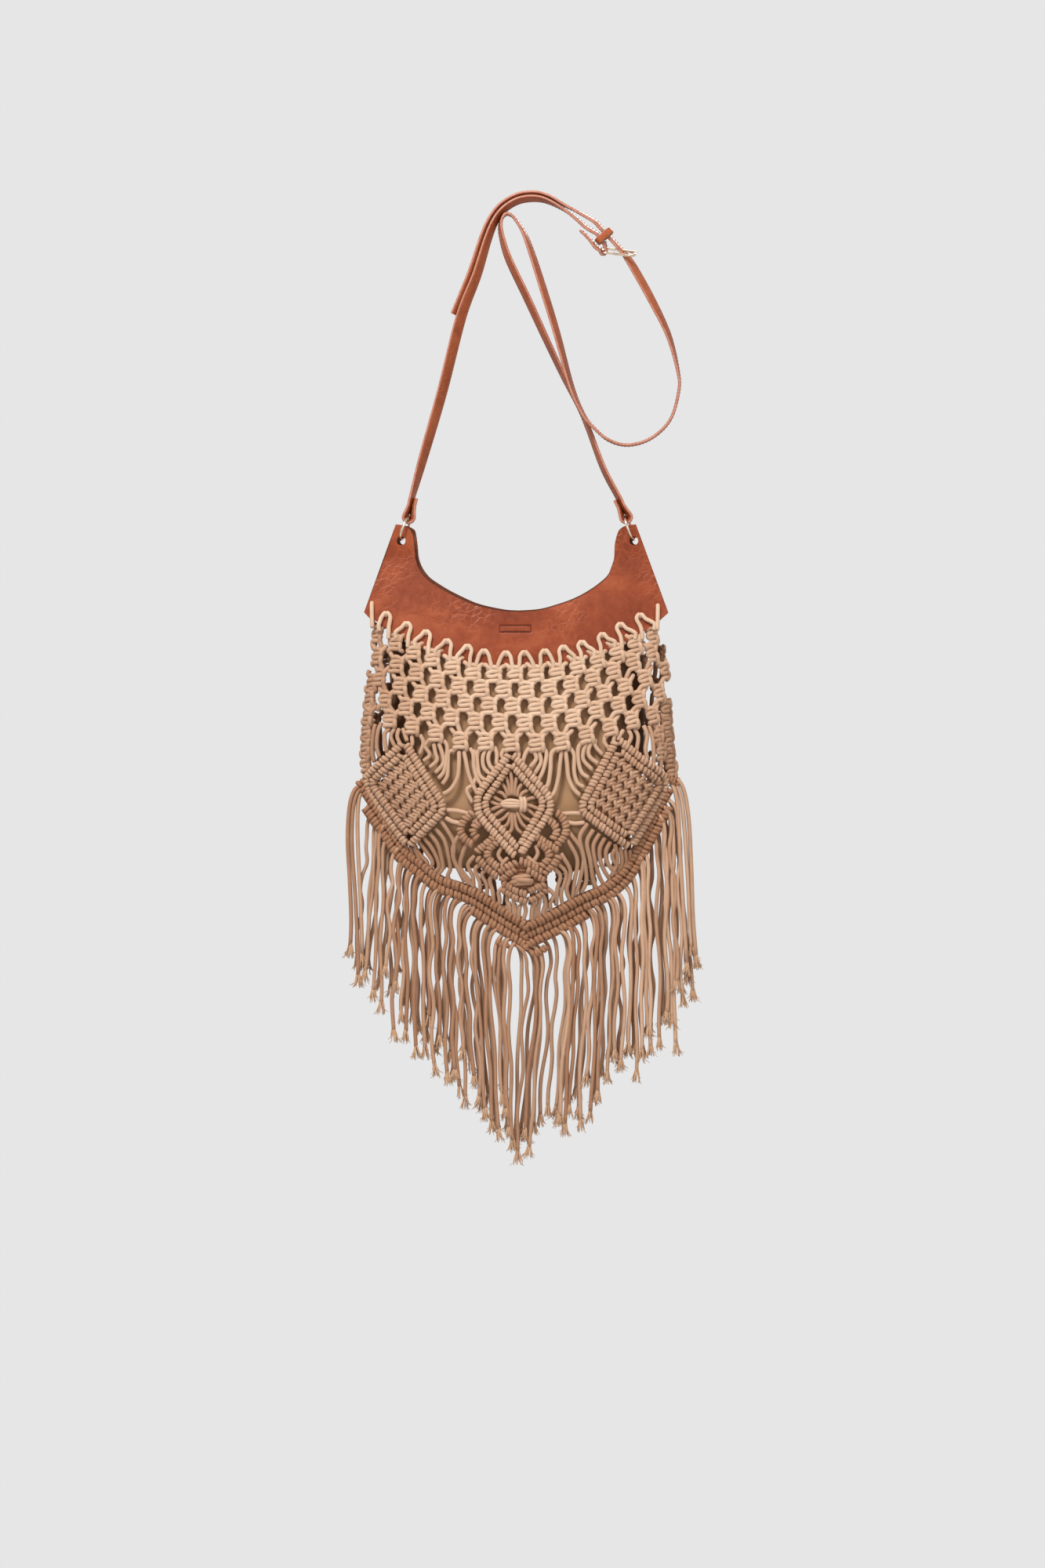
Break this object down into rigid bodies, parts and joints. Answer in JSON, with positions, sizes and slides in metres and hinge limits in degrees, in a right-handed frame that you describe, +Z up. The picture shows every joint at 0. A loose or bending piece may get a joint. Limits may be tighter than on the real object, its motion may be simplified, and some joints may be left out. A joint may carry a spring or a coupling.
{
  "type": "handbag",
  "caption": "Crossbody handbag with a knotted cotton cord body and long fringe, a leather yoke with a dipped mouth, and a buckled leather strap, kept hanging by its strap.",
  "frame": {"origin": "where the strap hangs, on the underside of its innermost fold", "axes": "+Z up, the bag's front faces -Y, +X to the right as seen from the front"},
  "size_m": [0.3033, 0.0593, 0.8568],
  "materials": {
    "leather": "smooth cognac leather with fine creases",
    "strap_leather": "cognac leather strap with paler cut edges and a stitched line along each edge",
    "cord": "braided cotton cord",
    "cloth": "plain woven cotton lining",
    "metal": "polished pale gold metal"
  },
  "bodies": {
    "root": {"yoke_front": "leather", "yoke_back": "leather", "buckle_strap": "strap_leather", "long_strap": "strap_leather", "keeper_loop": "strap_leather", "ring_left": "metal", "ring_right": "metal", "buckle_frame": "metal", "buckle_prong": "metal", "lining": "cloth", "lacing_front": "cord", "lacing_back": "cord", "net_front": "cord", "net_back": "cord", "diamond_left": "cord", "diamond_centre": "cord", "diamond_right": "cord", "rosette": "cord", "border_front": "cord", "border_back": "cord", "fringe_front": "cord", "fringe_back": "cord"}
  },
  "joints": []
}
